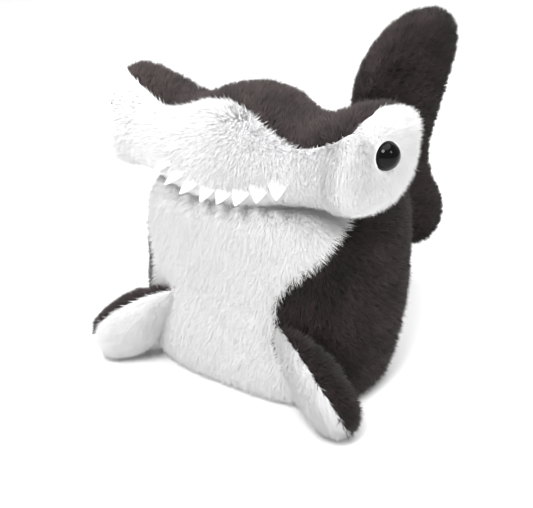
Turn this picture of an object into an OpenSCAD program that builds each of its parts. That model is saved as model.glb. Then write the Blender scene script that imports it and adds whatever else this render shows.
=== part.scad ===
// Plush hammerhead shark, sitting upright: sewn pile-cloth panels over fibre stuffing, a pellet
// bag in the base, safety eyes with washers, felt teeth, and fins and a tail that flop at their
// seams. Millimetres, +Z up, the shark faces -Y, origin on the flat base.

/* [Body] */
// Widest half-width of the body, across X
body_half_w = 59; // [56:0.5:60]
// Height at which the white chest starts to spread towards the flanks
chest_spread_z = 50; // [44:1:54]
// Half-angle of the white chest at the base, degrees from its middle
chest_angle_low = 28; // [28:1:36]
// Half-angle of the white chest under the head, degrees from its middle
chest_angle_high = 84; // [76:1:90]
// Turn of the chest's lower part towards the shark's right, degrees
chest_turn = 12; // [10:1:18]
// Thickness of the pile cloth
cloth = 2; // [1.6:0.1:2.2]

/* [Head] */
// Half-span of the hammer, from the middle to the end of a lobe
hammer_half_span = 69.5; // [68:0.5:71]
// Turn of each lobe's end towards the front, degrees
lobe_turn = 18; // [12:1:22]
// Forward lean of the face, per unit of height
face_lean = 0.2; // [0.1:0.05:0.3]
// How much lower the white seam is on the left lobe than in the middle, and higher on the right one
seam_turn = 22; // [0:1:24]

/* [Eyes] */
// Diameter of a safety eye
eye_d = 12; // [11:0.5:13]
// Height of the eye's dome
eye_dome_h = 5.6; // [4:0.1:5.8]
// Diameter of the eye's shank
shank_d = 4; // [3:0.5:5]
// Diameter of the locking washer
washer_d = 15; // [13:0.5:16]
// Thickness of the locking washer
washer_t = 1.4; // [1:0.1:2]

/* [Teeth] */
// Number of felt teeth along the mouth
tooth_count = 8; // [8:1:8]
// Width of a tooth at its root
tooth_w = 7.6; // [7:0.2:9]
// Length of a tooth from the mouth line to its tip
tooth_l = 8.5; // [7:0.5:10]
// Thickness of the folded felt
tooth_t = 2.2; // [1.6:0.1:2.6]

/* [Pectoral fins] */
// Length of a fin from its seam to its tip
fin_l = 33; // [30:0.5:34]
// Half of the fin's chord at its widest
fin_half_chord = 16.5; // [15:0.5:17]
// Half of the fin's thickness where it is fullest
fin_half_t = 9; // [8:0.5:10]
// Droop of the fin below level, degrees
fin_droop = 20; // [18:1:22]
// Turn of the fin towards the front, degrees
fin_yaw = 26; // [24:1:28]
// Lift of the fin's leading edge, degrees
fin_pitch = 60; // [56:1:64]
// How much further forwards the right fin flops about its seam, degrees
right_fin_turn = 12; // [8:1:14]

/* [Tail] */
// Turn of the tail towards the shark's left, degrees
tail_sweep = 22; // [18:1:26]
// Y of the seam that the tail turns about
tail_hinge_y = 59; // [58.5:0.5:61]
// Half of the tail's thickness where it is fullest
tail_half_t = 8.5; // [7:0.5:9]

/* [Hidden] */

white = [0.93, 0.93, 0.92];
dark = [0.23, 0.2, 0.22];
felt = [0.97, 0.97, 0.96];
black = [0.03, 0.03, 0.03];
fibre = [0.95, 0.95, 0.93];
calico = [0.86, 0.82, 0.72];
pellet = [0.8, 0.82, 0.84];
clear = [0.75, 0.76, 0.78];

// Body rows, bottom to top: [height at the front, half-width as a share of the widest, front y,
// back y, rise of the row per unit of y]
body_rows = [
    [0, 0.84, -53, 24, 0],
    [3, 0.9, -56, 28, 0],
    [9, 0.95, -58, 33, 0.03],
    [20, 0.985, -59, 42, 0.06],
    [34, 1, -59, 51, 0.1],
    [48, 0.985, -58.5, 55, 0.12],
    [60, 0.97, -59.5, 55.5, 0.13],
    [70, 0.94, -61, 54, 0.12],
    [80, 0.87, -63, 46, 0.1],
    [88, 0.74, -64, 33, 0.1],
    [95, 0.52, -60, 10, 0.1],
    [98, 0.3, -52, -16, 0.1],
];
body_mid_y = -18;
body_front_power = 0.62;
body_back_power = 1.5;
chest_cols = 8;
back_cols = 24;
back_seam_col = chest_cols + back_cols / 2;
chest_spread_h = 36;
chest_spread_power = 1.8;
base_spread = 20;
base_spread_z = 36;

// Head stations on one side, middle outwards: [x as a share of the half-span, middle y, middle z,
// half-depth, half-height, share of lobe_turn, white seam's angle above the face's middle]
head_side = [
    [0, -39.3, 111.5, 28.2, 22, 0, 62],
    [0.16, -39.6, 111, 27.4, 21, 0, 58],
    [0.29, -40.4, 110.2, 25.6, 17.4, 0, 57],
    [0.41, -40.5, 110.2, 23.5, 15, 0.05, 52],
    [0.52, -39.8, 110.8, 21.7, 15, 0.15, 43],
    [0.64, -40, 113, 20, 16.5, 0.35, 38],
    [0.75, -41, 115, 19, 18, 0.65, 39],
    [0.84, -42.5, 116, 19.5, 19.5, 0.9, 43],
    [0.91, -43.5, 116.5, 19, 19, 1, 58],
    [0.955, -44.2, 116.5, 16, 16, 1, 75],
    [0.985, -44.8, 116.5, 10.5, 10.5, 1, 90],
    [1, -45, 116.5, 4.5, 4.5, 1, 90],
];
head_power = 0.82;
head_under_angle = 118;
face_cols = 12;
crown_cols = 12;
eye_panel_station = 8;

// Pectoral fin stations: [share of the length, share of the half-chord, share of the half-thickness,
// sweep of the middle]; the seam slants across the fin by fin_skew degrees
fin_stations = [
    [0, 0.84, 0.28, 0],
    [0.05, 0.88, 0.36, 0],
    [0.16, 0.96, 0.78, 0],
    [0.35, 1, 1, 0],
    [0.55, 0.98, 1, 1],
    [0.74, 0.86, 0.92, 2],
    [0.88, 0.64, 0.76, 3],
    [0.96, 0.4, 0.54, 4],
    [1, 0.16, 0.3, 4.5],
];
fin_hinge_s = 2.6;
fin_hinge = [42.6, -57.9, 24];
fin_skew = 36;
fin_cols = 14;

// Tail stations, bottom to top: [z, front edge, back edge, share of the half-thickness]
tail_stations = [
    [26, 34, 44, 0.3],
    [28.5, 26, 48.5, 0.58],
    [33, 17, 52, 0.8],
    [40, 7, 54, 0.95],
    [48, -1, 52.5, 1],
    [60, -2.4, 45.5, 1],
    [70, -2.4, 41.5, 1],
    [80, -2.4, 40.5, 1],
    [91, -2.8, 43, 1],
    [102, -4.6, 46.8, 1],
    [113, -4.8, 50.2, 1],
    [123, -1.8, 53.2, 1],
    [132, 3.8, 55.2, 0.97],
    [140, 12, 54.4, 0.88],
    [146, 22, 50.5, 0.66],
    [149, 29, 45, 0.3],
];
tail_cols = 16;

// Dorsal fin stations, upwards from inside the back: [height, front edge, back edge, half-thickness]
dorsal_stations = [
    [0, -15, 15, 5],
    [8, -11, 14, 4.8],
    [15, -4, 13.5, 4],
    [20, 3, 13, 3],
    [22.5, 8, 12, 1.6],
];
dorsal_foot = [0, 12, 88];
dorsal_lean = -18;
dorsal_cols = 12;
dorsal_cloth = 1.2;

eye_seat = [68.6, -44.6, 119.5];
eye_tilt = 6;
eye_sink = 1.2;
eye_flange_t = 0.8;
shank_l = 11;
washer_depth = 5.6;
play = 0.1;

mouth_mid_x = 4;
mouth_half_w = 28;
mouth_angle = 26;
mouth_end_drop = -15;
tooth_tilt = 46;
tooth_yaw = 0.95;
tooth_root = 7;

bag_r = 30;
bag_h = 15;
bag_round = 6;
bag_cloth = 0.8;
bag_y = -14;

round_fn = 48;

// ---- lofts: a loft is a list of closed rows, and each row has the same number of points ----

// Unit normal of a loft at row i, column j, pointing outwards
function loft_normal(g, i, j) =
    let (n = len(g[0]),
         along = g[min(i + 1, len(g) - 1)][j] - g[max(i - 1, 0)][j],
         around = g[i][(j + 1) % n] - g[i][(j + n - 1) % n],
         c = cross(around, along))
    c / norm(c);

// The same loft moved inwards by t
function inset(g, t) =
    [for (i = [0:len(g) - 1]) [for (j = [0:len(g[0]) - 1]) g[i][j] - t * loft_normal(g, i, j)]];

// Signed power, which squares or narrows a round row
function bend(v, p) = sign(v) * pow(abs(v), p);

// Two triangles for the square between rows i and i + 1, columns j and k, of width n
function square_faces(i, j, k, n) =
    [[i * n + j, (i + 1) * n + j, (i + 1) * n + k], [i * n + j, (i + 1) * n + k, i * n + k]];

function flip(faces) = [for (f = faces) [f[2], f[1], f[0]]];

// Solid filling a whole loft
module loft(g) {
    n = len(g[0]);
    m = len(g);
    sides = [for (i = [0:m - 2], j = [0:n - 1]) each square_faces(i, j, (j + 1) % n, n)];
    caps = [[for (j = [0:n - 1]) j], [for (j = [n - 1:-1:0]) (m - 1) * n + j]];
    polyhedron([for (row = g) each row], concat(sides, caps), convexity = 8);
}

// Cloth panel: the patch of an outer and an inner loft over columns c0 to c1, walls all round
module panel(outer, inner, c0, c1) {
    n = len(outer[0]);
    m = len(outer);
    w = c1 - c0 + 1;
    size = m * w;
    patch = [for (g = [outer, inner], row = g, c = [c0:c1]) row[(c + n) % n]];
    skin = [for (i = [0:m - 2], j = [0:w - 2]) each square_faces(i, j, j + 1, w)];
    lining = [for (f = flip(skin)) [for (v = f) v + size]];
    ends = [for (j = [0:w - 2]) each concat(
        [[j, j + 1, size + j + 1], [j, size + j + 1, size + j]],
        let (a = (m - 1) * w + j) [[a + size + 1, a + 1, a], [a + size, a + size + 1, a]])];
    seams = [for (i = [0:m - 2]) each let (a = i * w, b = a + w, e = a + w - 1, h = b + w - 1)
        [[a, size + a, size + b], [a, size + b, b], [size + h, size + e, e], [h, size + h, e]]];
    polyhedron(patch, concat(skin, lining, ends, seams), convexity = 8);
}

// Cloth cap: outer and inner lofts from row r0 to their last row, closed over the end. turned says
// that the loft's columns run the other way, so that its rim still meets its neighbour's edge.
module cap_panel(outer, inner, r0, turned) {
    n = len(outer[0]);
    m = len(outer) - r0;
    size = m * n;
    patch = [for (g = [outer, inner], i = [r0:len(outer) - 1]) each g[i]];
    skin = [for (i = [0:m - 2], j = [0:n - 1]) each square_faces(i, j, (j + 1) % n, n)];
    lining = [for (f = flip(skin)) [for (v = f) v + size]];
    rim = [for (j = [0:n - 1]) let (k = (j + 1) % n) each turned
        ? [[j, k, size + j], [k, size + k, size + j]] : [[j, k, size + k], [j, size + k, size + j]]];
    over = [[for (j = [n - 1:-1:0]) (m - 1) * n + j], [for (j = [0:n - 1]) size + (m - 1) * n + j]];
    polyhedron(patch, concat(skin, lining, rim, over), convexity = 8);
}

// ---- body ----

function smooth(v) = let (u = min(max(v, 0), 1)) u * u * (3 - 2 * u);

// How far the chest has spread at height z, from 0 to 1
function chest_spread(z) = pow(min(max((z - chest_spread_z) / chest_spread_h, 0), 1), chest_spread_power);

// Angles of the chest's right and left seams at height z, from straight ahead
function chest_seams(z) =
    let (u = chest_spread(z),
         half = chest_angle_low + (chest_angle_high - chest_angle_low) * u
             + base_spread * smooth(1 - z / base_spread_z),
         turn = chest_turn * (1 - u))
    [-half - turn, half - turn];

// Angle of body column j: across the chest, then round the left side to the back seam, then on
function body_angle(j, seams) =
    j <= chest_cols ? seams[0] + (seams[1] - seams[0]) * j / chest_cols
    : j <= back_seam_col ? seams[1] + (180 - seams[1]) * (j - chest_cols) / (back_cols / 2)
    : 180 + (180 + seams[0]) * (j - back_seam_col) / (back_cols / 2);

function body_point(row, a) =
    let (y = cos(a) > 0 ? body_mid_y + (row[2] - body_mid_y) * pow(cos(a), body_front_power)
             : body_mid_y + (row[3] - body_mid_y) * -cos(a),
         x = row[1] * body_half_w
             * bend(sin(a), cos(a) > 0 ? body_front_power : body_back_power))
    [x, y, row[0] + row[4] * (y - row[2])];

body_outer = [for (row = body_rows) let (seams = chest_seams(row[0]))
    [for (j = [0:chest_cols + back_cols - 1]) body_point(row, body_angle(j, seams))]];
body_inset = inset(body_outer, cloth);
body_inner = [for (i = [0:len(body_inset) - 1])
    [for (p = body_inset[i]) i == 0 ? [p.x, p.y, 0] : p]];

module body_solid() loft(body_outer);

module base_plate() {
    linear_extrude(cloth) polygon([for (p = body_inner[0]) [p.x, p.y]]);
}

module base_panel() color(white) base_plate();
module belly_panel() color(white) panel(body_outer, body_inner, 0, chest_cols);
module left_back_panel() color(dark) difference() {
    panel(body_outer, body_inner, chest_cols, back_seam_col);
    dorsal_place() loft(dorsal_outer);
}
module right_back_panel() color(dark) difference() {
    panel(body_outer, body_inner, back_seam_col, chest_cols + back_cols);
    dorsal_place() loft(dorsal_outer);
}

module bag_shape(r, h, round) {
    rotate_extrude($fn = round_fn) intersection() {
        translate([0, 0]) square([r, h]);
        union() {
            square([r - round, h]);
            translate([0, round]) square([r, h - 2 * round]);
            translate([r - round, round]) circle(round);
            translate([r - round, h - round]) circle(round);
        }
    }
}

module bag_place() translate([0, bag_y, cloth]) children();

module pellet_bag() color(calico) bag_place() difference() {
    bag_shape(bag_r, bag_h, bag_round);
    translate([0, 0, bag_cloth]) bag_shape(bag_r - bag_cloth, bag_h - 2 * bag_cloth, bag_round - bag_cloth);
}
module pellet_fill() color(pellet) bag_place() translate([0, 0, bag_cloth])
    bag_shape(bag_r - bag_cloth, bag_h - 2 * bag_cloth, bag_round - bag_cloth);

module body_stuffing() color(fibre) difference() {
    loft(body_inner);
    base_plate();
    bag_place() bag_shape(bag_r, bag_h, bag_round);
    dorsal_place() loft(dorsal_outer);
}

// ---- head ----

function head_angle(j, seam) =
    j <= face_cols ? -seam + (head_under_angle + seam) * j / face_cols
    : head_under_angle + (360 - head_under_angle - seam) * (j - face_cols) / crown_cols;

// side is -1 or 1; angle a starts at the front of the face and turns downwards
function head_point(row, side, a) =
    let (e = row[3] * bend(cos(a), head_power),
         h = -row[4] * bend(sin(a), head_power),
         turn = lobe_turn * row[5],
         d = -e + face_lean * h)
    [side * (row[0] * hammer_half_span + d * sin(turn)), row[1] + d * cos(turn), row[2] + h];

function head_ring(row, side) =
    [for (j = [0:face_cols + crown_cols - 1]) head_point(row, side, head_angle(j, row[6] - side * seam_turn * row[0]))];

head_outer = concat(
    [for (i = [len(head_side) - 1:-1:1]) head_ring(head_side[i], -1)],
    [for (row = head_side) head_ring(row, 1)]);
head_inner = inset(head_outer, cloth);
head_last = len(head_outer) - 1;
cap_row = head_last - (len(head_side) - 1 - eye_panel_station);

function rows_between(g, a, b) = [for (i = [a:b]) g[i]];
function reversed(g) = [for (i = [len(g) - 1:-1:0]) [for (j = [len(g[0]) - 1:-1:0]) g[i][j]]];

head_mid_outer = rows_between(head_outer, head_last - cap_row, cap_row);
head_mid_inner = rows_between(head_inner, head_last - cap_row, cap_row);

module head_solid() loft(head_outer);

module face_panel() color(white) difference() {
    panel(head_mid_outer, head_mid_inner, 0, face_cols);
    body_solid();
}
module crown_panel() color(dark) difference() {
    panel(head_mid_outer, head_mid_inner, face_cols, face_cols + crown_cols);
    body_solid();
}

// ---- eyes ----

// Puts its children on the left lobe's end, with +Z out of the lobe
module eye_place() translate(eye_seat) rotate([0, 0, -lobe_turn]) rotate([0, 90 - eye_tilt, 0]) children();

module eye_pocket() {
    translate([0, 0, -eye_sink]) cylinder(d = eye_d + 2 * play, h = eye_d, $fn = round_fn);
    translate([0, 0, -shank_l - eye_sink]) cylinder(d = shank_d + 2 * play, h = shank_l + 1, $fn = round_fn);
}

module eye_shape() {
    dome_r = (eye_d * eye_d / 4 + eye_dome_h * eye_dome_h) / (2 * eye_dome_h);
    translate([0, 0, -eye_sink]) {
        cylinder(d = eye_d, h = eye_flange_t, $fn = round_fn);
        translate([0, 0, eye_flange_t]) intersection() {
            translate([0, 0, eye_dome_h - dome_r]) sphere(dome_r, $fn = round_fn);
            cylinder(d = eye_d, h = eye_d, $fn = round_fn);
        }
        translate([0, 0, -shank_l]) cylinder(d = shank_d, h = shank_l, $fn = round_fn);
    }
}

module washer_shape() translate([0, 0, -washer_depth - washer_t]) difference() {
    cylinder(d = washer_d, h = washer_t, $fn = round_fn);
    translate([0, 0, -1]) cylinder(d = shank_d, h = washer_t + 2, $fn = round_fn);
}

module eye_and_washer_room() {
    eye_pocket();
    translate([0, 0, -washer_depth - washer_t]) cylinder(d = washer_d, h = washer_t, $fn = round_fn);
}

module eye_panel(outer, inner, turned) difference() {
    cap_panel(outer, inner, cap_row, turned);
    children();
}

module left_eye_panel() color(white) eye_panel(head_outer, head_inner, false)
    eye_place() eye_pocket();
module right_eye_panel() color(white)
    eye_panel(reversed(head_outer), reversed(head_inner), true) mirror([1, 0, 0]) eye_place() eye_pocket();
module left_eye() color(black) eye_place() eye_shape();
module right_eye() color(black) mirror([1, 0, 0]) eye_place() eye_shape();
module left_eye_washer() color(clear) eye_place() washer_shape();
module right_eye_washer() color(clear) mirror([1, 0, 0]) eye_place() washer_shape();

module head_stuffing() color(fibre) difference() {
    loft(head_inner);
    body_solid();
    eye_place() eye_and_washer_room();
    mirror([1, 0, 0]) eye_place() eye_and_washer_room();
}

// ---- teeth ----

// The head's station at x, read straight between its neighbours
function head_row_at(x) = [for (k = [0:6]) k == 0 ? abs(x) / hammer_half_span
    : lookup(abs(x) / hammer_half_span, [for (row = head_side) [row[0], row[k]]])];

// The teeth stand on the face, in a row that climbs towards both ends of the mouth
module tooth(i) {
    u = 2 * i / (tooth_count - 1) - 1;
    x = mouth_mid_x + mouth_half_w * u;
    color(felt) difference() {
        translate(head_point(head_row_at(x), sign(x), mouth_angle + mouth_end_drop * u * u))
            rotate([0, 0, tooth_yaw * x]) rotate([-tooth_tilt, 0, 0]) rotate([90, 0, 0])
            linear_extrude(tooth_t, center = true)
                polygon([[-tooth_w / 2, tooth_root], [-tooth_w / 2, 0], [0, -tooth_l], [tooth_w / 2, 0],
                         [tooth_w / 2, tooth_root]]);
        head_solid();
        body_solid();
    }
}

// ---- fins, tail and dorsal fin: padded blades ----

// Ring of a blade: middle, half-chord along one axis and half-thickness across it
function fin_ring(row, t) =
    let (s = row[0] * fin_l, h = max(row[1] * fin_half_chord - t, 1), d = max(row[2] * fin_half_t - t, 0.5))
    [for (j = [0:fin_cols - 1]) let (a = 360 * j / fin_cols, v = row[3] - h * cos(a))
        [s + v * tan(fin_skew) * (1 - row[0]), v, -d * sin(a)]];

fin_outer = [for (row = fin_stations) fin_ring(row, 0)];
fin_inner = [for (row = fin_stations) fin_ring(row, cloth)];

// Puts its children on the left fin's seam, with +X out along the fin and -Y its leading edge
module fin_place() translate(fin_hinge) rotate([0, 0, -fin_yaw]) rotate([0, fin_droop, 0])
    rotate([-fin_pitch, 0, 0]) translate([-fin_hinge_s, 0, 0]) children();

module fin_panel(c0, c1) fin_place() panel(fin_outer, fin_inner, c0, c1);

// Direction of the left fin's seam
fin_axis =
    let (v = [sin(fin_skew), cos(fin_skew) * cos(fin_pitch), -cos(fin_skew) * sin(fin_pitch)],
         w = [v.x * cos(fin_droop) + v.z * sin(fin_droop), v.y, v.z * cos(fin_droop) - v.x * sin(fin_droop)])
    [w.x * cos(fin_yaw) + w.y * sin(fin_yaw), w.y * cos(fin_yaw) - w.x * sin(fin_yaw), w.z];

module right_fin_place() mirror([1, 0, 0]) translate(fin_hinge) rotate(a = right_fin_turn, v = fin_axis)
    translate(-fin_hinge) children();

module left_fin_top() color(dark) fin_panel(fin_cols / 2, fin_cols);
module left_fin_underside() color(white) fin_panel(0, fin_cols / 2);
module left_fin_stuffing() color(fibre) fin_place() loft(fin_inner);
module right_fin_top() color(dark) right_fin_place() fin_panel(fin_cols / 2, fin_cols);
module right_fin_underside() color(white) right_fin_place() fin_panel(0, fin_cols / 2);
module right_fin_stuffing() color(fibre) right_fin_place() fin_place() loft(fin_inner);

// Ring of an upright blade at height z, from its front edge to its back edge
function blade_ring(z, front, back, half_t, t, n) =
    let (m = (front + back) / 2, h = max((back - front) / 2 - t, 1), d = max(half_t - t, 0.5))
    [for (j = [0:n - 1]) let (a = 360 * j / n) [d * sin(a), m - h * cos(a), z]];

tail_outer = [for (r = tail_stations) blade_ring(r[0], r[1], r[2], r[3] * tail_half_t, 0, tail_cols)];
tail_inner = [for (r = tail_stations) blade_ring(r[0], r[1], r[2], r[3] * tail_half_t, cloth, tail_cols)];

module tail_place() translate([0, tail_hinge_y, 0]) rotate([0, 0, -tail_sweep]) children();

module left_tail_panel() color(dark) tail_place() panel(tail_outer, tail_inner, 0, tail_cols / 2);
module right_tail_panel() color(dark) tail_place() panel(tail_outer, tail_inner, tail_cols / 2, tail_cols);
module tail_stuffing() color(fibre) tail_place() loft(tail_inner);

dorsal_outer = [for (r = dorsal_stations) blade_ring(r[0], r[1], r[2], r[3], 0, dorsal_cols)];
dorsal_inner = [for (r = dorsal_stations) blade_ring(r[0], r[1], r[2], r[3], dorsal_cloth, dorsal_cols)];

module dorsal_place() translate(dorsal_foot) rotate([dorsal_lean, 0, 0]) children();

module left_dorsal_panel() color(dark) dorsal_place() panel(dorsal_outer, dorsal_inner, 0, dorsal_cols / 2);
module right_dorsal_panel() color(dark) dorsal_place()
    panel(dorsal_outer, dorsal_inner, dorsal_cols / 2, dorsal_cols);
module dorsal_stuffing() color(fibre) dorsal_place() loft(dorsal_inner);

base_panel();
belly_panel();
left_back_panel();
right_back_panel();
face_panel();
crown_panel();
left_eye_panel();
right_eye_panel();
left_eye();
right_eye();
left_eye_washer();
right_eye_washer();
for (i = [1:tooth_count]) tooth(i - 1);
left_dorsal_panel();
right_dorsal_panel();
dorsal_stuffing();
body_stuffing();
head_stuffing();
pellet_bag();
pellet_fill();
left_fin_top();
left_fin_underside();
left_fin_stuffing();
right_fin_top();
right_fin_underside();
right_fin_stuffing();
left_tail_panel();
right_tail_panel();
tail_stuffing();
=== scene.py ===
import math
import bmesh
import bpy
import mathutils
import numpy as np
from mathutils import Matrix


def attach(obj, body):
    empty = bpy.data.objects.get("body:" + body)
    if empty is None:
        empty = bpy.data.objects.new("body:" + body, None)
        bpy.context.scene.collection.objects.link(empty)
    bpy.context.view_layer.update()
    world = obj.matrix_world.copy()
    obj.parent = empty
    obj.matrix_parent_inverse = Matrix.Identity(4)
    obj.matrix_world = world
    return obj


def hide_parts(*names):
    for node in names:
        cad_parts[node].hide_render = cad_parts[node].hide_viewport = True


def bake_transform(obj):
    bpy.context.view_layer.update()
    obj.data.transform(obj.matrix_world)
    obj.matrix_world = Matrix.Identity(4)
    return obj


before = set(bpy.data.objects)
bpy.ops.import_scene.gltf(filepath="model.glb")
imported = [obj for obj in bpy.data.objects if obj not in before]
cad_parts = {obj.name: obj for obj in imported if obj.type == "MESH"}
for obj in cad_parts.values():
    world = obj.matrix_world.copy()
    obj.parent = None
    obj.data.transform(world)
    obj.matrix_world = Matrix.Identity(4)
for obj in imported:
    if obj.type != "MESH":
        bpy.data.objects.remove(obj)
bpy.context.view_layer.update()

MM = 0.001
FULL_TURN = 360.0

# ---- reading tables and grids ----


def on_curve(rows, at):
    """Rows read at fractional row numbers, on the Catmull-Rom curve that passes through every row."""
    rows = np.asarray(rows, float)
    last = len(rows) - 1
    start = np.clip(np.floor(at).astype(int), 0, last - 1)
    t = (at - start)[..., None]
    a, b, c, d = (rows[np.clip(start + k, 0, last)] for k in (-1, 0, 1, 2))
    return 0.5 * (2 * b + (c - a) * t + (2 * a - 5 * b + 4 * c - d) * t**2 + (3 * b - a - 3 * c + d) * t**3)


def bend(value, power):
    """The value's size raised to the power, with its sign kept, which squares or narrows a round ring."""
    return np.sign(value) * np.abs(value) ** power


def smooth(value):
    """0 below 0, 1 above 1, and an even S between them."""
    u = np.clip(value, 0, 1)
    return u * u * (3 - 2 * u)


def cosd(a):
    return np.cos(np.radians(a))


def sind(a):
    return np.sin(np.radians(a))


def unit(v):
    return v / np.maximum(np.linalg.norm(v, axis=-1, keepdims=True), 1e-12)


def turned(axis, degrees):
    """Matrix of a right-handed turn about one axis, 0 for X, 1 for Y or 2 for Z."""
    c, s = math.cos(math.radians(degrees)), math.sin(math.radians(degrees))
    m = np.eye(3)
    j, k = (axis + 1) % 3, (axis + 2) % 3
    m[j, j], m[j, k], m[k, j], m[k, k] = c, -s, s, c
    return m


def even_columns(points, count):
    """Each row of points walked again in count even steps along its own length."""
    steps = np.linalg.norm(np.diff(points, axis=1), axis=2)
    walked = np.concatenate([np.zeros((len(points), 1)), np.cumsum(steps, axis=1)], axis=1)
    share = np.linspace(0, 1, count)
    return np.array([
        np.stack([np.interp(share * w[-1], w, row[:, k]) for k in range(3)], axis=1)
        for w, row in zip(walked, points)
    ])


def grid_normals(grid):
    """Unit normals of a grid whose columns run to the right and rows upwards, seen from outside."""
    up = np.gradient(grid, axis=0)
    across = np.gradient(grid, axis=1)
    return unit(np.cross(across, up))


def read_grid(grid, i, j):
    """A grid read at fractional rows and columns, straight between its points."""
    a = np.clip(np.floor(i).astype(int), 0, grid.shape[0] - 2)
    b = np.clip(np.floor(j).astype(int), 0, grid.shape[1] - 2)
    s, t = (i - a)[..., None], (j - b)[..., None]
    return (
        (1 - s) * (1 - t) * grid[a, b] + (1 - s) * t * grid[a, b + 1]
        + s * (1 - t) * grid[a + 1, b] + s * t * grid[a + 1, b + 1]
    )


# ---- the stuffed forms ----

BODY_HALF_W = 59
BODY_MID_Y = -18
BODY_FRONT_POWER = 0.62
BODY_BACK_POWER = 1.5
# height at the front, half-width share, front y, back y, rise of the row per unit of y
BODY_ROWS = np.array([
    (0, 0.84, -53, 24, 0),
    (3, 0.9, -56, 28, 0),
    (9, 0.95, -58, 33, 0.03),
    (20, 0.985, -59, 42, 0.06),
    (34, 1, -59, 51, 0.1),
    (48, 0.985, -58.5, 55, 0.12),
    (60, 0.97, -59.5, 55.5, 0.13),
    (70, 0.94, -61, 54, 0.12),
    (80, 0.87, -63, 46, 0.1),
    (88, 0.74, -64, 33, 0.1),
    (95, 0.52, -60, 10, 0.1),
    (98, 0.3, -52, -16, 0.1),
])
CHEST_SPREAD_Z, CHEST_SPREAD_H, CHEST_SPREAD_POWER = 50, 36, 1.8
CHEST_ANGLE_LOW, CHEST_ANGLE_HIGH, CHEST_TURN = 28, 84, 12
BASE_SPREAD, BASE_SPREAD_Z = 20, 36

HAMMER_HALF_SPAN = 69.5
LOBE_TURN = 18
FACE_LEAN = 0.2
HEAD_POWER = 0.82
HEAD_UNDER = 118
EYE_PANEL_STATION = 8
SEAM_TURN = 22
# share of the half-span, middle y, middle z, half-depth, half-height, share of the lobe's turn,
# angle of the white seam above the middle of the face
HEAD_SIDE = np.array([
    (0, -39.3, 111.5, 28.2, 22, 0, 62),
    (0.16, -39.6, 111, 27.4, 21, 0, 58),
    (0.29, -40.4, 110.2, 25.6, 17.4, 0, 57),
    (0.41, -40.5, 110.2, 23.5, 15, 0.05, 52),
    (0.52, -39.8, 110.8, 21.7, 15, 0.15, 43),
    (0.64, -40, 113, 20, 16.5, 0.35, 38),
    (0.75, -41, 115, 19, 18, 0.65, 39),
    (0.84, -42.5, 116, 19.5, 19.5, 0.9, 43),
    (0.91, -43.5, 116.5, 19, 19, 1, 58),
    (0.955, -44.2, 116.5, 16, 16, 1, 75),
    (0.985, -44.8, 116.5, 10.5, 10.5, 1, 90),
    (1, -45, 116.5, 4.5, 4.5, 1, 90),
])
HEAD_ROWS = np.concatenate([HEAD_SIDE[:0:-1] * (-1, 1, 1, 1, 1, 1, 1), HEAD_SIDE])
HEAD_MIDDLE = len(HEAD_SIDE) - 1

FIN_L, FIN_HALF_CHORD, FIN_HALF_T = 33, 16.5, 9
FIN_HINGE_S = 2.6
FIN_HINGE = np.array((42.6, -57.9, 24))
FIN_SKEW, FIN_YAW, FIN_DROOP, FIN_PITCH = 36, 26, 20, 60
RIGHT_FIN_TURN = 12
# share of the length, share of the half-chord, share of the half-thickness, sweep of the middle;
# the first two rows are the seam allowance inside the body
FIN_ROWS = np.array([
    (-0.22, 0.7, 0.3, 0),
    (-0.1, 0.8, 0.42, 0),
    (0, 0.86, 0.52, 0),
    (0.07, 0.9, 0.62, 0),
    (0.18, 0.96, 0.8, 0),
    (0.35, 1, 1, 0),
    (0.55, 0.98, 1, 1),
    (0.74, 0.86, 0.92, 2),
    (0.88, 0.64, 0.76, 3),
    (0.96, 0.4, 0.54, 4),
    (1, 0.16, 0.3, 4.5),
])

TAIL_SWEEP, TAIL_HINGE_Y, TAIL_HALF_T = 22, 59, 8.5
# height, front edge, back edge, share of the half-thickness
TAIL_ROWS = np.array([
    (26, 34, 44, 0.3),
    (28.5, 26, 48.5, 0.58),
    (33, 17, 52, 0.8),
    (40, 7, 54, 0.95),
    (48, -1, 52.5, 1),
    (60, -2.4, 45.5, 1),
    (70, -2.4, 41.5, 1),
    (80, -2.4, 40.5, 1),
    (91, -2.8, 43, 1),
    (102, -4.6, 46.8, 1),
    (113, -4.8, 50.2, 1),
    (123, -1.8, 53.2, 1),
    (132, 3.8, 55.2, 0.97),
    (140, 12, 54.4, 0.88),
    (146, 22, 50.5, 0.66),
    (149, 29, 45, 0.3),
])
# how far the tail's front edge runs into the body, and between which heights
TAIL_ALLOWANCE, ALLOWANCE_FOOT, ALLOWANCE_TOP, ALLOWANCE_FADE = 9, 38, 92, 12

DORSAL_FOOT = np.array((0, 12, 88))
DORSAL_LEAN = -18
# height, front edge, back edge, half-thickness
DORSAL_ROWS = np.array([
    (0, -15, 15, 5),
    (8, -11, 14, 4.8),
    (15, -4, 13.5, 4),
    (20, 3, 13, 3),
    (22.5, 8, 12, 1.6),
])


def body_skin(row, angle):
    """A point of the body: half-width times a power of the angle's sine across, and depth times a
    power of its cosine fore and aft, on rows that rise towards the back."""
    z, share, front, back, rise = np.moveaxis(on_curve(BODY_ROWS, row), -1, 0)
    c, s = cosd(angle), sind(angle)
    ahead = c > 0
    fore = (front - BODY_MID_Y) * np.abs(c) ** BODY_FRONT_POWER
    aft = (back - BODY_MID_Y) * np.abs(c)
    x = share * BODY_HALF_W * bend(s, np.where(ahead, BODY_FRONT_POWER, BODY_BACK_POWER))
    y = BODY_MID_Y + np.where(ahead, fore, aft)
    return np.stack([x, y, z + rise * (y - front)], -1)


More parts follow.
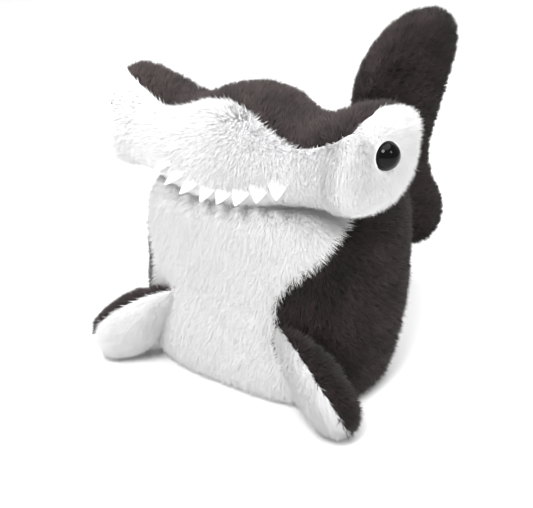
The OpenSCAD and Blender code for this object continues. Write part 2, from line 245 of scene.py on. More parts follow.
def chest_seams(row):
    """Angles of the chest's right and left seams: a narrow bib low down, turned to the shark's right,
    that widens faster and faster to nearly the whole front under the head, and a little at the base."""
    z = on_curve(BODY_ROWS, row)[..., 0]
    spread = np.clip((z - CHEST_SPREAD_Z) / CHEST_SPREAD_H, 0, 1) ** CHEST_SPREAD_POWER
    half = CHEST_ANGLE_LOW + (CHEST_ANGLE_HIGH - CHEST_ANGLE_LOW) * spread
    half = half + BASE_SPREAD * smooth(1 - z / BASE_SPREAD_Z)
    turn = CHEST_TURN * (1 - spread)
    return -half - turn, half - turn


def head_skin(row, angle):
    """A point of the hammer: an oval ring that leans forwards, its own size at each place across the
    head, turned forwards at the ends. The angle starts at the front and runs downwards."""
    x, y, z, depth, height, turn, _ = np.moveaxis(on_curve(HEAD_ROWS, row), -1, 0)
    side = np.sign(row - HEAD_MIDDLE)
    h = -height * bend(sind(angle), HEAD_POWER)
    d = -depth * bend(cosd(angle), HEAD_POWER) + FACE_LEAN * h
    turn = LOBE_TURN * turn
    return np.stack([x * HAMMER_HALF_SPAN + side * d * sind(turn), y + d * cosd(turn), z + h], -1)


def head_seam(row):
    """Angle of the white seam above the middle of the face, lower on the left lobe than on the right."""
    at = on_curve(HEAD_ROWS, row)
    return at[..., 6] - SEAM_TURN * at[..., 0]


FIN_FRAME = turned(2, -FIN_YAW) @ turned(1, FIN_DROOP) @ turned(0, -FIN_PITCH)
FIN_AXIS = FIN_FRAME @ (sind(FIN_SKEW), cosd(FIN_SKEW), 0)


def turned_about(points, foot, axis, degrees):
    """Points turned right-handed about an axis through a foot, by the sum of their part along the
    axis, their part across it and the cross product of the two."""
    away = points - foot
    along = (away @ axis)[..., None] * axis
    return foot + along + (away - along) * cosd(degrees) + np.cross(axis, away) * sind(degrees)


def fin_skin(row, angle):
    """A point of the left fin: an oval ring at each place along it, slanted along the sewn edge."""
    share, chord, thick, sweep = np.moveaxis(on_curve(FIN_ROWS, row), -1, 0)
    v = sweep - chord * FIN_HALF_CHORD * cosd(angle)
    s = share * FIN_L + v * math.tan(math.radians(FIN_SKEW)) * (1 - share)
    local = np.stack([s - FIN_HINGE_S, v, -thick * FIN_HALF_T * sind(angle)], -1)
    return FIN_HINGE + local @ FIN_FRAME.T


def blade(rows, row, angle):
    """A point of an upright blade, as an oval ring between its front and back edges."""
    z, front, back, half = np.moveaxis(on_curve(rows, row), -1, 0)
    return np.stack([half * sind(angle), (front + back) / 2 - (back - front) / 2 * cosd(angle), z], -1)


def tail_skin(row, angle):
    """A point of the tail, whose front edge runs into the body's back between knee height and the
    shoulders."""
    rows = TAIL_ROWS * (1, 1, 1, TAIL_HALF_T)
    z = rows[:, 0]
    rows[:, 1] -= (TAIL_ALLOWANCE * smooth((z - ALLOWANCE_FOOT) / ALLOWANCE_FADE)
                   * smooth((ALLOWANCE_TOP - z) / ALLOWANCE_FADE))
    return blade(rows, row, angle) @ turned(2, -TAIL_SWEEP).T + (0, TAIL_HINGE_Y, 0)


def dorsal_skin(row, angle):
    """A point of the small back fin."""
    return blade(DORSAL_ROWS, row, angle) @ turned(0, DORSAL_LEAN).T + DORSAL_FOOT


def in_head(p, grow=0.0):
    """Whether a point is inside the hammer's ring at its own x, with the ring grown by some
    millimetres: the powers of its parts along the ring's depth and height add up to less than 1."""
    row = np.interp(p[..., 0] / HAMMER_HALF_SPAN, HEAD_ROWS[:, 0], np.arange(len(HEAD_ROWS)))
    _, y, z, depth, height, _, _ = np.moveaxis(on_curve(HEAD_ROWS, row), -1, 0)
    h = p[..., 2] - z
    d = p[..., 1] - y - FACE_LEAN * h
    power = 2 / HEAD_POWER
    return np.abs(d / (depth + grow)) ** power + np.abs(h / (height + grow)) ** power < 1


def in_body(p, grow=0.0):
    """Whether a point is inside the body's skin, grown by some millimetres: its row is found in three
    passes, because rows rise towards the back, and the powers of its parts add up to less than 1."""
    at = np.arange(len(BODY_ROWS))
    row = np.interp(p[..., 2], BODY_ROWS[:, 0], at)
    for _ in range(3):
        z, share, front, back, rise = np.moveaxis(on_curve(BODY_ROWS, row), -1, 0)
        row = np.interp(p[..., 2] - rise * (p[..., 1] - front), BODY_ROWS[:, 0], at)
    z, share, front, back, rise = np.moveaxis(on_curve(BODY_ROWS, row), -1, 0)
    y = p[..., 1] - BODY_MID_Y
    ahead = y < 0
    deep = np.where(ahead, BODY_MID_Y - front, back - BODY_MID_Y) + grow
    wide = share * BODY_HALF_W + grow
    ex = 2 / np.where(ahead, BODY_FRONT_POWER, BODY_BACK_POWER)
    ey = np.where(ahead, 2 / BODY_FRONT_POWER, 2.0)
    top = BODY_ROWS[-1, 0] + rise * (p[..., 1] - front)
    return (np.abs(p[..., 0] / wide) ** ex + np.abs(y / deep) ** ey < 1) & (p[..., 2] < top)


# ---- panels: each is a grid of points on a form, between two seams ----


FINE_STEPS = 700


def panel(skin, rows, low, high, count):
    """A grid of points on a form's skin, with the angle run from the low seam to the high seam and
    each row walked in even steps."""
    low = np.broadcast_to(low, rows.shape)
    high = np.broadcast_to(high, rows.shape)
    share = np.linspace(0, 1, FINE_STEPS)
    angle = low[:, None] + (high - low)[:, None] * share
    return even_columns(skin(np.broadcast_to(rows[:, None], angle.shape), angle), count)


def mirrored(grid):
    """The same panel on the shark's other side, with its columns turned round to face out again."""
    return grid[:, ::-1] * (-1, 1, 1)


body_rows = np.linspace(0, len(BODY_ROWS) - 1, 84)
right_seam, left_seam = chest_seams(body_rows)
belly_grid = panel(body_skin, body_rows, right_seam, left_seam, 76)
left_back_grid = panel(body_skin, body_rows, left_seam, 180, 90)
right_back_grid = panel(body_skin, body_rows, 180, FULL_TURN + right_seam, 90)

middle_rows = np.linspace(HEAD_MIDDLE - EYE_PANEL_STATION, HEAD_MIDDLE + EYE_PANEL_STATION, 90)
lobe_rows = np.linspace(HEAD_MIDDLE + EYE_PANEL_STATION, 2 * HEAD_MIDDLE, 34)


def from_left(grid):
    """A head panel's grid turned so that its columns run to the right and its rows upwards."""
    return np.swapaxes(grid, 0, 1)[::-1]


seam_up = head_seam(middle_rows)
face_grid = from_left(panel(head_skin, middle_rows, -seam_up, HEAD_UNDER, 56))
crown_grid = from_left(panel(head_skin, middle_rows, HEAD_UNDER, FULL_TURN - seam_up, 64))
lobe_seam = head_seam(lobe_rows)
left_lobe_grid = from_left(panel(head_skin, lobe_rows, -lobe_seam, FULL_TURN - lobe_seam, 110))
left_lobe_grid = np.concatenate([left_lobe_grid, np.broadcast_to(
    left_lobe_grid[:, -1:].mean(0, keepdims=True), (left_lobe_grid.shape[0], 1, 3))], axis=1)

fin_rows = np.linspace(0, len(FIN_ROWS) - 1, 46)


def tipped(grid):
    """A blade's grid with one more row, drawn together at the middle of its last row's chord."""
    tip = np.broadcast_to((grid[-1, :1] + grid[-1, -1:]) / 2, grid[-1:].shape)
    return np.concatenate([grid, tip], axis=0)


fin_under_grid = tipped(panel(fin_skin, fin_rows, 0, 180, 34))
fin_top_grid = tipped(panel(fin_skin, fin_rows, 180, FULL_TURN, 34))

tail_rows = np.linspace(0, len(TAIL_ROWS) - 1, 96)


def footed(grid):
    """A tipped blade's grid that is drawn together below its first row too."""
    return tipped(tipped(grid)[::-1])[::-1]


left_tail_grid = footed(panel(tail_skin, tail_rows, 0, 180, 52))
right_tail_grid = footed(panel(tail_skin, tail_rows, 180, FULL_TURN, 52))

dorsal_rows = np.linspace(0, len(DORSAL_ROWS) - 1, 24)
left_dorsal_grid = tipped(panel(dorsal_skin, dorsal_rows, 0, 180, 26))
right_dorsal_grid = tipped(panel(dorsal_skin, dorsal_rows, 180, FULL_TURN, 26))

# ---- making pieces ----

# thickness of the cloth, how deep its face lies under the form, and how much deeper at the stitches
CLOTH, CLOTH_DEPTH, STITCH_DIP = 1.6, 0.25, 0.5
# how far a seam runs into the piece that it is sewn to
TUCK = 1.5


def add_piece(name, points, faces, material):
    """A mesh object of these points, in millimetres, with one material."""
    mesh = bpy.data.meshes.new(name)
    mesh.from_pydata((points * MM).reshape(-1, 3), [], faces)
    mesh.polygons.foreach_set("use_smooth", np.full(len(mesh.polygons), True))
    mesh.materials.append(material)
    mesh.update()
    piece = bpy.data.objects.new(name, mesh)
    bpy.context.scene.collection.objects.link(piece)
    return piece


def grid_faces(m, n, first=0):
    """Squares of a grid of m rows and n columns, seen from outside."""
    k = first + np.arange(m - 1)[:, None] * n + np.arange(n - 1)
    return np.stack([k, k + 1, k + n + 1, k + n], -1).reshape(-1, 4)


def merged(piece):
    """The piece with points that lie together made one, and its faces turned outwards."""
    b = bmesh.new()
    b.from_mesh(piece.data)
    bmesh.ops.remove_doubles(b, verts=b.verts, dist=2e-6)
    bmesh.ops.dissolve_degenerate(b, dist=1e-6, edges=b.edges)
    bmesh.ops.recalc_face_normals(b, faces=b.faces)
    b.to_mesh(piece.data)
    b.free()
    piece.data.update()
    return piece


def sewn_cloth(name, grid, material):
    """A panel of pile cloth: the grid outside, the same grid moved in by the cloth's thickness, and a
    turned edge all round. The cloth dips a little at its edges, where the stitches pull it in."""
    m, n = grid.shape[:2]
    normals = grid_normals(grid)
    from_edge = np.minimum(np.minimum(np.arange(n), n - 1 - np.arange(n)) * 2.0, 10)
    dip = STITCH_DIP * (1 - smooth(from_edge / 5))[None, :, None]
    outer = grid - normals * (CLOTH_DEPTH + dip)
    inner = grid - normals * (CLOTH_DEPTH + CLOTH)
    outer[..., 2] = np.maximum(outer[..., 2], 0)
    inner[..., 2] = np.maximum(inner[..., 2], 0)
    size = m * n
    skin = grid_faces(m, n)
    lining = grid_faces(m, n, size)[:, ::-1]
    ring = np.concatenate([
        np.arange(n - 1), np.arange(m - 1) * n + n - 1,
        np.arange(size - 1, size - n, -1), np.arange(m - 1, 0, -1) * n])
    after = np.roll(ring, -1)
    edge = np.stack([ring + size, after + size, after, ring], -1)
    faces = np.concatenate([skin, lining, edge])
    points = np.concatenate([outer.reshape(-1, 3), inner.reshape(-1, 3)])
    return merged(add_piece(name, points, faces.tolist(), material))


# how many waves a ripple adds up, and about how large their sum is
RIPPLE_WAVES, RIPPLE_SIZE = 8, 2.8


def ripple(points, wave, seed):
    """Slope and height of a soft ripple in space: the sum of sine waves about one wavelength long, in
    seeded directions. The slope points downhill, so whatever follows it gathers into tufts."""
    rng = np.random.default_rng(seed)
    turns = 2 * np.pi / wave
    ways = unit(rng.normal(size=(RIPPLE_WAVES, 3))) * turns * rng.uniform(0.75, 1.3, (RIPPLE_WAVES, 1))
    phase = rng.uniform(0, 2 * np.pi, RIPPLE_WAVES)
    slope = np.cos(points @ ways.T + phase) @ ways
    crest = np.sin(points @ ways.T + phase).sum(-1) / (RIPPLE_WAVES / 2)
    return -slope * wave / (2 * np.pi * RIPPLE_SIZE), crest


# how unevenly long strands are, by tuft and one by one, and the shortest and longest share
LENGTH_BY_TUFT, LENGTH_BY_STRAND, SHORTEST, LONGEST = 0.14, 0.12, 0.6, 1.45
# how unevenly strands are coloured: by tuft, lighter on crests and darker between them, which is painted
# light and shade, and one by one as their own tone
SHADE_BY_TUFT, SHADE_BY_STRAND = 0.3, 0.16
# how deep a strand's foot stands below the form, and how near the floor its tip may come
FOOT_DEPTH, FLOOR_GAP = 0.6, 0.2


def pile(name, grid, material, count, lay, seed, length, width, lean, tuft, wave, wild, contrast,
         keep=None, trim=None, part=(0, 0, 0, 0)):
    """The pile of a panel, as many tapered three-sided strands. Their roots are spread evenly by
    area. A strand rises along the panel's normal, leans along lay, a direction or a function of the
    root, and follows a soft ripple so that neighbours gather in tufts. Along the panel's first and
    last columns and rows it also leans outwards, over the seam, by the amounts in part. keep says
    which roots hold a strand, and trim how much of its length is left. contrast is how much the
    strands differ in shade and in the way they catch the light."""
    rng = np.random.default_rng(seed)
    normals = grid_normals(grid)
    a = grid[1:, 1:] - grid[:-1, :-1]
    b = grid[1:, :-1] - grid[:-1, 1:]
    area = np.cumsum(np.linalg.norm(np.cross(a, b), axis=-1).reshape(-1))
    pick = (np.arange(count) + rng.random(count)) / count * area[-1]
    cell = np.minimum(np.searchsorted(area, pick), len(area) - 1)
    i = cell // (grid.shape[1] - 1) + rng.random(count)
    j = cell % (grid.shape[1] - 1) + rng.random(count)
    root = read_grid(grid, i, j)
    if keep is not None:
        kept = keep(root)
        i, j, root = i[kept], j[kept], root[kept]
    n = len(root)
    normal = unit(read_grid(normals, i, j))
    across = unit(read_grid(np.gradient(grid, axis=1), i, j))
    upwards = unit(read_grid(np.gradient(grid, axis=0), i, j))
    u, v = j[:, None] / (grid.shape[1] - 1), i[:, None] / (grid.shape[0] - 1)
    outwards = (
        across * (part[1] * smooth(u * 9 - 8) - part[0] * smooth(1 - u * 9))
        + upwards * (part[3] * smooth(v * 9 - 8) - part[2] * smooth(1 - v * 9))
    )
    way = lay(root) if callable(lay) else np.broadcast_to(np.array(lay, float), root.shape)
    way = unit(way - (way * normal).sum(-1, keepdims=True) * normal)
    slope, crest = ripple(root, wave, seed)
    slope -= (slope * normal).sum(-1, keepdims=True) * normal
    uneven_length = 1 + LENGTH_BY_TUFT * crest + rng.normal(0, LENGTH_BY_STRAND, n)
    size = (length * uneven_length.clip(SHORTEST, LONGEST))[:, None]
    if trim is not None:
        size = size * trim(root)[:, None]
    stray = rng.normal(0, wild, (n, 3))
    rise = unit(normal + lean * way + tuft * slope + 0.7 * outwards + stray)
    fall = unit(0.7 * normal + 1.5 * lean * way + 1.5 * tuft * slope + outwards + 1.4 * stray)
    foot = root - FOOT_DEPTH * normal
    tip = foot + size * (0.5 * rise + 0.55 * fall)
    side = unit(np.cross(rise, rng.normal(size=(n, 3))))
    other = np.cross(rise, side)
    spin = np.array((0, 2, 4)) * np.pi / 3
    star = np.cos(spin)[None, :, None] * side[:, None] + np.sin(spin)[None, :, None] * other[:, None]
    ring = foot[:, None] + 0.5 * width * rng.uniform(0.75, 1.25, (n, 1, 1)) * star
    points = np.concatenate([ring, tip[:, None]], axis=1)
    points[..., 2] = np.maximum(points[..., 2], FLOOR_GAP + 0.3 * rng.random((n, 1)))
    shape = np.array([(0, 2, 1), (0, 1, 3), (1, 2, 3), (2, 0, 3)])
    faces = (shape[None] + 4 * np.arange(n)[:, None, None]).reshape(-1, 3)
    piece = add_piece(name, points, faces, material)
    mesh = piece.data
    # rise runs from 0 at a strand's root to 1 at its tip; the tint darkens the roots by it, which is painted
    # shade down in the pile.
    rises = np.tile(np.float32((0, 0, 0, 1)), n)
    mesh.attributes.new("rise", "FLOAT", "POINT").data.foreach_set("value", rises)
    # shade: lighter on tuft crests and darker between tufts, which is painted light and shade, plus a random
    # tone for each strand.
    uneven_shade = SHADE_BY_TUFT * crest + rng.normal(0, SHADE_BY_STRAND, n)
    shade = (0.5 + contrast * uneven_shade).clip(0, 1)
    shades = np.repeat(shade, 4).astype(np.float32)
    mesh.attributes.new("shade", "FLOAT", "POINT").data.foreach_set("value", shades)
    uneven = 0.5 * slope[:, None] + 0.5 * stray[:, None] + 0.3 * star[:, :1]
    shading = unit(1.2 * normal[:, None] + contrast * uneven)
    mesh.normals_split_custom_set_from_vertices(np.repeat(shading, 4, axis=1).reshape(-1, 3))
    return piece


# ---- materials ----


def new_material(name):
    m = bpy.data.materials.new(name)
    m.use_nodes = True
    return m, m.node_tree, m.node_tree.nodes["Principled BSDF"]


def new_group(name, inputs, outputs):
    """A shader node group with named sockets, and its input and output nodes."""
    g = bpy.data.node_groups.new(name, "ShaderNodeTree")
    for label, kind, value in inputs:
        g.interface.new_socket(label, in_out="INPUT", socket_type=kind).default_value = value
    for label, kind in outputs:
        g.interface.new_socket(label, in_out="OUTPUT", socket_type=kind)
    return g, g.nodes.new("NodeGroupInput"), g.nodes.new("NodeGroupOutput")


def put(tree, kind, **values):
    """A node, with its input sockets set by name, spaces as underscores."""
    node = tree.nodes.new(kind)
    for label, value in values.items():
        node.inputs[label.replace("_", " ")].default_value = value
    return node


def math_node(tree, operation, first, second=0.0):
    """A Math node of two values, each a number or a socket."""
    node = tree.nodes.new("ShaderNodeMath")
    node.operation = operation
    for socket, value in zip(node.inputs, (first, second)):
        if isinstance(value, (int, float)):
            socket.default_value = value
        else:
            tree.links.new(value, socket)
    return node.outputs[0]


def mix_colour(tree, share, first, second):
    """A colour between two, each a colour or a socket, by a share."""
    node = tree.nodes.new("ShaderNodeMix")
    node.data_type = "RGBA"
    for socket, value in zip((node.inputs[0], node.inputs[6], node.inputs[7]), (share, first, second)):
        if isinstance(value, (int, float, tuple)):
            socket.default_value = value
        else:
            tree.links.new(value, socket)
    return node.outputs[2]


def make_pile_tint():
    """Colour of pile: deep at a strand's root and light at its tip, which is painted shade down in the pile;
    a little different on each strand, lighter on tuft crests and darker between tufts, which is painted
    light and shade; and mottled in soft lighter and darker patches, a painted sheen of pile brushed one way
    or the other."""
    g, given, out = new_group(
        "Pile tint",
        [("Deep", "NodeSocketColor", (0, 0, 0, 1)), ("Light", "NodeSocketColor", (1, 1, 1, 1)),
         ("Patch", "NodeSocketFloat", 40.0), ("Mottle", "NodeSocketFloat", 0.5)],
        [("Color", "NodeSocketColor")])
    place = g.nodes.new("ShaderNodeTexCoord").outputs["Object"]
    broad = put(g, "ShaderNodeTexNoise", Detail=2.0, Roughness=0.5)
    fine = put(g, "ShaderNodeTexNoise", Detail=3.0, Roughness=0.6)
    g.links.new(place, broad.inputs["Vector"])
    g.links.new(place, fine.inputs["Vector"])
    g.links.new(given.outputs["Patch"], broad.inputs["Scale"])
    g.links.new(math_node(g, "MULTIPLY", given.outputs["Patch"], 9.0), fine.inputs["Scale"])
    rise = g.nodes.new("ShaderNodeAttribute")
    rise.attribute_name = "rise"
    shade = g.nodes.new("ShaderNodeAttribute")
    shade.attribute_name = "shade"
    # Soft lighter and darker patches: painted sheen of pile brushed different ways.
    patches = math_node(g, "MULTIPLY", math_node(g, "SUBTRACT", broad.outputs["Fac"], 0.5), 1.6)
    grain = math_node(g, "MULTIPLY", math_node(g, "SUBTRACT", fine.outputs["Fac"], 0.5), 0.8)
    mottle = math_node(g, "MULTIPLY", math_node(g, "ADD", patches, grain), given.outputs["Mottle"])
    # The shade attribute: lighter on tuft crests and darker between tufts, which is painted light and shade,
    # plus each strand's own tone.
    strand = math_node(g, "MULTIPLY", math_node(g, "SUBTRACT", shade.outputs["Fac"], 0.5), 0.35)
    # Lighter from root to tip: painted shade down at the roots.
    up = math_node(g, "MULTIPLY", rise.outputs["Fac"], 0.55)
    total = math_node(g, "ADD", math_node(g, "ADD", up, strand), math_node(g, "ADD", mottle, 0.2))
    share = math_node(g, "MINIMUM", math_node(g, "MAXIMUM", total, 0.0), 1.0)
    g.links.new(mix_colour(g, share, given.outputs["Deep"], given.outputs["Light"]), out.inputs["Color"])
    return g


def make_fibre_grain():
    """Matted fibres: stretched noise in two directions, laid over each other."""
    g, given, out = new_group(
        "Fibre grain", [("Scale", "NodeSocketFloat", 400.0)], [("Height", "NodeSocketFloat")])
    place = g.nodes.new("ShaderNodeTexCoord").outputs["Object"]
    layers = []
    for stretch in ((1.0, 0.25, 0.6), (0.3, 1.0, 0.5)):
        mapping = put(g, "ShaderNodeMapping", Scale=stretch)
        noise = put(g, "ShaderNodeTexNoise", Detail=4.0, Roughness=0.65, Distortion=0.6)
        g.links.new(place, mapping.inputs["Vector"])
        g.links.new(mapping.outputs["Vector"], noise.inputs["Vector"])
        g.links.new(given.outputs["Scale"], noise.inputs["Scale"])
        layers.append(noise.outputs["Fac"])
    g.links.new(math_node(g, "MAXIMUM", *layers), out.inputs["Height"])
    return g


PILE_TINT = make_pile_tint()
FIBRE_GRAIN = make_fibre_grain()


def pile_material(name, deep, light, mottle, sheen, patch=40.0):
    """Pile: its tint by strand and patch, which paints shade at the roots and between tufts and paints sheen
    in patches, and a soft sheen.
    """
    m, tree, shader = new_material(name)
    tint = tree.nodes.new("ShaderNodeGroup")
    tint.node_tree = PILE_TINT
    tint.inputs["Deep"].default_value = (*deep, 1)
    tint.inputs["Light"].default_value = (*light, 1)
    tint.inputs["Patch"].default_value = patch
    tint.inputs["Mottle"].default_value = mottle
    tree.links.new(tint.outputs["Color"], shader.inputs["Base Color"])
    shader.inputs["Roughness"].default_value = 0.7
    shader.inputs["Sheen Weight"].default_value = sheen
    shader.inputs["Sheen Roughness"].default_value = 0.45
    shader.inputs["Specular IOR Level"].default_value = 0.25
    return m


def fibre_material(name, deep, light, scale, rough, bump):
    """Matted fibres: two shades by the grain, and the grain again as a bump."""
    m, tree, shader = new_material(name)
    grain = tree.nodes.new("ShaderNodeGroup")
    grain.node_tree = FIBRE_GRAIN
    grain.inputs["Scale"].default_value = scale
    height = grain.outputs["Height"]
    tree.links.new(mix_colour(tree, height, (*deep, 1), (*light, 1)), shader.inputs["Base Color"])
    raised = put(tree, "ShaderNodeBump", Strength=bump, Distance=0.0004)
    tree.links.new(height, raised.inputs["Height"])
    tree.links.new(raised.outputs["Normal"], shader.inputs["Normal"])
    shader.inputs["Roughness"].default_value = rough
    return m


def calico_material():
    """Plain weave: two crossed sets of threads."""
    m, tree, shader = new_material("calico")
    place = tree.nodes.new("ShaderNodeTexCoord").outputs["Object"]
    threads = []
    for way in ("X", "Y"):
        wave = put(tree, "ShaderNodeTexWave", Scale=300.0, Distortion=0.4)
        wave.bands_direction = way
        tree.links.new(place, wave.inputs["Vector"])
        threads.append(wave.outputs["Fac"])
    weave = math_node(tree, "MULTIPLY", *threads)
    cotton = mix_colour(tree, weave, (0.62, 0.55, 0.42, 1), (0.78, 0.72, 0.6, 1))
    tree.links.new(cotton, shader.inputs["Base Color"])
    raised = put(tree, "ShaderNodeBump", Strength=0.5, Distance=0.0003)
    tree.links.new(weave, raised.inputs["Height"])
    tree.links.new(raised.outputs["Normal"], shader.inputs["Normal"])
    shader.inputs["Roughness"].default_value = 0.85
    return m


def pellet_material():
    """Small round plastic pellets, close together, lighter at each one's middle and darker towards the gaps
    between them, which is painted shade.
    """
    m, tree, shader = new_material("pellets")
    cells = put(tree, "ShaderNodeTexVoronoi", Scale=260.0)
    tree.links.new(tree.nodes.new("ShaderNodeTexCoord").outputs["Object"], cells.inputs["Vector"])
    # Light at each pellet's middle, darker towards the gaps: painted shade.
    tree.links.new(mix_colour(tree, cells.outputs["Distance"], (0.82, 0.84, 0.86, 1), (0.5, 0.53, 0.56, 1)),
                   shader.inputs["Base Color"])
    raised = put(tree, "ShaderNodeBump", Strength=0.8, Distance=0.001)
    raised.invert = True
    tree.links.new(cells.outputs["Distance"], raised.inputs["Height"])
    tree.links.new(raised.outputs["Normal"], shader.inputs["Normal"])
    shader.inputs["Roughness"].default_value = 0.35
    return m


def moulded_material(name, colour, light, rough, coat, gloss):
    """Moulded plastic, with faint smudges in its gloss and colour."""
    m, tree, shader = new_material(name)
    smudge = put(tree, "ShaderNodeTexNoise", Scale=180.0, Detail=3.0)
    tree.links.new(tree.nodes.new("ShaderNodeTexCoord").outputs["Object"], smudge.inputs["Vector"])
    tint = mix_colour(tree, smudge.outputs["Fac"], (*colour, 1), (*light, 1))
    tree.links.new(tint, shader.inputs["Base Color"])
    tree.links.new(math_node(tree, "ADD", math_node(tree, "MULTIPLY", smudge.outputs["Fac"], 0.08), rough),
                   shader.inputs["Roughness"])
    shader.inputs["Coat Weight"].default_value = coat
    shader.inputs["Specular IOR Level"].default_value = gloss
    shader.inputs["Coat Roughness"].default_value = 0.03
    return m


# Deep is the colour at the roots, painted shade down in the pile; the cloth panels and the base panel carry
# no rise, so they are painted in that darker colour all over. The dark pile's strong mottle is painted
# sheen.
white_pile = pile_material("white pile", (0.83, 0.83, 0.84), (0.92, 0.917, 0.91), 0.25, 0.15)
dark_pile = pile_material("dark pile", (0.004, 0.003, 0.0035), (0.05, 0.035, 0.034), 0.9, 0.06, patch=55.0)
felt = fibre_material("felt", (0.62, 0.62, 0.62), (0.76, 0.76, 0.75), 900.0, 0.9, 0.6)
fibre = fibre_material("fibre", (0.75, 0.75, 0.74), (0.95, 0.95, 0.94), 250.0, 0.95, 0.8)
calico = calico_material()
pellets = pellet_material()
eye_plastic = moulded_material("eye plastic", (0.001, 0.001, 0.0012), (0.003, 0.003, 0.003), 0.02, 0.0, 0.13)
washer_plastic = moulded_material("washer plastic", (0.6, 0.62, 0.64), (0.7, 0.71, 0.73), 0.3, 0.2, 0.5)

# ---- the skins and their pile ----

EYE_SEAT = np.array((68.6, -44.6, 119.5))
EYE_TILT = 6
EYE_D = 12
EYE_FRAME = turned(2, -LOBE_TURN) @ turned(1, 90 - EYE_TILT)
EYE_AXIS = EYE_FRAME @ (0, 0, 1)


def sewn(piece, body, nodes, other=None):
    """Fixes a finished panel to its body, or, for a panel across a seam that moves, bakes its place into its
    points and leaves it unattached.
    """
    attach(piece, body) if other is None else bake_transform(piece)
    if nodes:
        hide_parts(*nodes)
    return piece


def off_eye(root):
    """How far a root is from the left eye's axis."""
    away = root - EYE_SEAT
    return np.linalg.norm(away - (away @ EYE_AXIS)[:, None] * EYE_AXIS, axis=-1)


def clear_of_eye(root):
    """Roots that aren't under the left eye."""
    return off_eye(root) > EYE_D / 2 + 0.3


def short_by_eye(root):
    """The pile is clipped close round the eye, and full from 6 mm away."""
    return 0.45 + 0.55 * smooth((off_eye(root) - EYE_D / 2) / 6)


def from_eye(root):
    """Away from the left eye, out along the lobe and down a little."""
    return unit(root - EYE_SEAT) * (0, 0.7, 0.7) + (0.35, 0.1, -0.25)


def head_lay(root):
    """Back over the head, and outwards towards the lobes."""
    side = np.tanh(root[..., 0] / 30)
    return np.stack([0.6 * side, np.ones_like(side), 0.1 + 0 * side], -1)


def face_lay(root):
    """Down the face, and outwards towards the lobes."""
    side = np.tanh(root[..., 0] / 30)
    return np.stack([0.8 * side, -0.3 + 0 * side, -0.6 + 0 * side], -1)


def out_of_body(root):
    """Roots that aren't tucked into the body."""
    return ~in_body(root, -TUCK)


def out_of_head(root):
    """Roots that aren't tucked into the head."""
    return ~in_head(root, -TUCK)


def mirror_x(function):
    """The same function for the shark's right side. Known fault: a test such as clear_of_eye comes out
    as 0 and 1, not false and true, so the right lobe's strands all stand at its first two roots."""
    return lambda root: function(root * (-1, 1, 1)) * ((-1, 1, 1) if function is from_eye else 1)


WHITE_LAY = dict(length=4.2, width=0.4, tuft=0.1, wave=8.0, wild=0.15, lean=0.6, contrast=0.3)
DARK_LAY = dict(length=4.3, width=0.5, tuft=0.55, wave=5.5, wild=0.2, lean=0.45, contrast=1.2)


def plush(name, grid, body, white, count, lay, seed, nodes, keep=None, other=None, **how):
    """One panel of the shark: its cloth, which stands for a CAD panel, and the pile on it."""
    material, slot = (white_pile, "white_plush") if white else (dark_pile, "dark_plush")
    # The cloth takes the pile's material; with no rise it shows the darker root colour, painted shade.
    sewn(sewn_cloth(name + "_cloth", grid, material), body, nodes, other=other)
    settings = {**(WHITE_LAY if white else DARK_LAY), **how}
    hair = pile(name + "_pile", grid, material, count, lay, seed, keep=keep, **settings)
    sewn(hair, body, (), other=other)


DOWN = (0, -0.15, -1)
LEFT_FLANK, RIGHT_FLANK = (0.2, 0.5, -1), (-0.2, 0.5, -1)
plush("belly", belly_grid, "torso", True, 46000, DOWN, 11, ["belly_panel"], out_of_head, length=5.0,
      tuft=0.16, wild=0.17, part=(0.8, 0.8, 0, 0))
plush("left_back", left_back_grid, "torso", False, 46000, LEFT_FLANK, 12, ["left_back_panel"], out_of_head)
plush("right_back", right_back_grid, "torso", False, 46000, RIGHT_FLANK, 13, ["right_back_panel"],
      out_of_head)
plush("face", face_grid, "torso", True, 46000, face_lay, 14, ["face_panel"], out_of_body,
      part=(0, 0, 0, 0.45))
plush("crown", crown_grid, "torso", False, 44000, head_lay, 15, ["crown_panel"], out_of_body,
      part=(1.1, 1.1, 0, 0.4))
plush("left_eye", left_lobe_grid, "torso", True, 14000, from_eye, 16, ["left_eye_panel"], clear_of_eye,
      length=4.4, trim=short_by_eye)
plush("right_eye", mirrored(left_lobe_grid), "torso", True, 14000, mirror_x(from_eye), 17,
      ["right_eye_panel"], mirror_x(clear_of_eye), length=4.4, trim=mirror_x(short_by_eye))

FIN_OUT = FIN_FRAME @ (1, 0.1, 0)
LEFT, RIGHT = np.array((1, 1, 1)), np.array((-1, 1, 1))


def on_right(points):
    """The left fin's points, or directions from its hinge, where the right fin has them."""
    return turned_about(points, FIN_HINGE, FIN_AXIS, RIGHT_FIN_TURN) * RIGHT


FIN_REACH = 3.5


def fin_bend(place):
    """The stretch of a fin that bends about its seam, from the body to the fin."""
    reach = FIN_REACH * (FIN_FRAME @ (1, 0, 0))
    return [tuple(place(FIN_HINGE + k * reach) * MM) for k in (-1, 1)]


def on_left(points):
    """The left fin's points where they are."""
    return points


for side, place, seed in (("left", on_left, 21), ("right", on_right, 25)):
    fin = f"{side}_fin"
    out = place(FIN_HINGE + FIN_OUT) - place(FIN_HINGE)
    other = ("torso", fin, *fin_bend(place))
    top, under = place(fin_top_grid), place(fin_under_grid)
    if side == "right":
        top, under = top[:, ::-1], under[:, ::-1]
    plush(f"{fin}_top", top, fin, False, 9500, out, seed, [f"{fin}_top"], out_of_body, other, length=4.2)
    plush(f"{fin}_under", under, fin, True, 7500, out, seed + 1, [f"{fin}_underside"], out_of_body, other,
          length=4.2)

